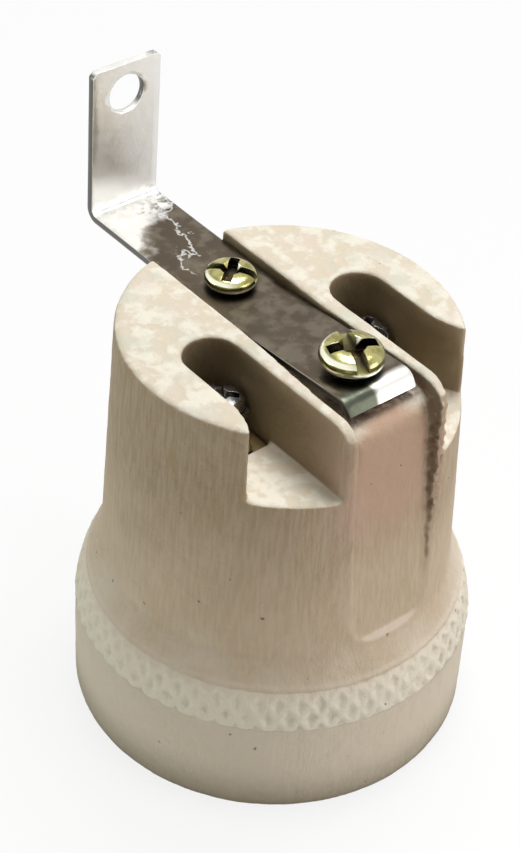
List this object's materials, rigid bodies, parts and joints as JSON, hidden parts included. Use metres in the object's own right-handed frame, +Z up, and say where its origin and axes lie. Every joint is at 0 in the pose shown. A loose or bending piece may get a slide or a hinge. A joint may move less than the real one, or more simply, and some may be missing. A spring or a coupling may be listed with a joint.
{
  "type": "lamp holder",
  "caption": "Porcelain screw lamp holder with knurled collar, two wire pockets with clamp terminals and a bent steel mounting strap held by pan-head screws.",
  "frame": {"origin": "centre of the mouth rim, on the lamp axis", "axes": "+Z up the lamp axis from the mouth to the terminal end; -X towards the strap's upright tab; -Y the neutral pocket, +Y the live pocket"},
  "size_m": [0.0506, 0.0434, 0.0644],
  "materials": {
    "porcelain": "matt cream unglazed porcelain, fine vertical striae",
    "strap_steel": "bright zinc-plated strip, smudged",
    "screw_steel": "yellow passivated zinc",
    "terminal_brass": "dulled brass",
    "terminal_steel": "nickel plated",
    "shell_metal": "nickel plated sheet",
    "contact_bronze": "tinned spring bronze"
  },
  "bodies": {
    "root": {"porcelain_body": "porcelain", "mounting_bracket": "strap_steel", "bracket_screw_front": "screw_steel", "bracket_screw_rear": "screw_steel", "bracket_nut_front": "screw_steel", "bracket_nut_rear": "screw_steel", "live_terminal_plate": "terminal_brass", "neutral_terminal_plate": "terminal_brass", "live_rivet": "terminal_brass", "neutral_rivet": "terminal_brass", "screw_shell": "shell_metal", "contact_leaf": "contact_bronze"},
    "live_clamp": {"live_clamp_washer": "terminal_steel"},
    "live_screw": {"live_terminal_screw": "terminal_steel"},
    "neutral_clamp": {"neutral_clamp_washer": "terminal_steel"},
    "neutral_screw": {"neutral_terminal_screw": "terminal_steel"},
    "contact": {"contact_button": "contact_bronze"}
  },
  "joints": [
    {"name": "live_clamp_lift", "type": "slide", "parent": "root", "child": "live_clamp", "axis": [0, 0, 1], "range_m": [-0.002, 0.001]},
    {"name": "live_screw_turn", "type": "hinge", "parent": "live_clamp", "child": "live_screw", "pos_m": [0.0009, 0.0095, 0.0422], "axis": [0, 0, 1], "range_deg": [-1441, 721]},
    {"name": "neutral_clamp_lift", "type": "slide", "parent": "root", "child": "neutral_clamp", "axis": [0, 0, 1], "range_m": [-0.002, 0.001]},
    {"name": "neutral_screw_turn", "type": "hinge", "parent": "neutral_clamp", "child": "neutral_screw", "pos_m": [0.0009, -0.0095, 0.0422], "axis": [0, 0, 1], "range_deg": [-1441, 721]},
    {"name": "contact_flex", "type": "hinge", "parent": "root", "child": "contact", "pos_m": [0.00307, 0.00694, 0.0328], "axis": [-0.9146, 0.4044, 0], "range_deg": [0, 15], "stiffness_Nm_per_rad": 0.17, "deforming": ["contact_leaf"]}
  ],
  "couplings": [
    {"joint": "live_screw_turn", "follows": "live_clamp_lift", "rad_per_m": 12566},
    {"joint": "neutral_screw_turn", "follows": "neutral_clamp_lift", "rad_per_m": 12566}
  ]
}
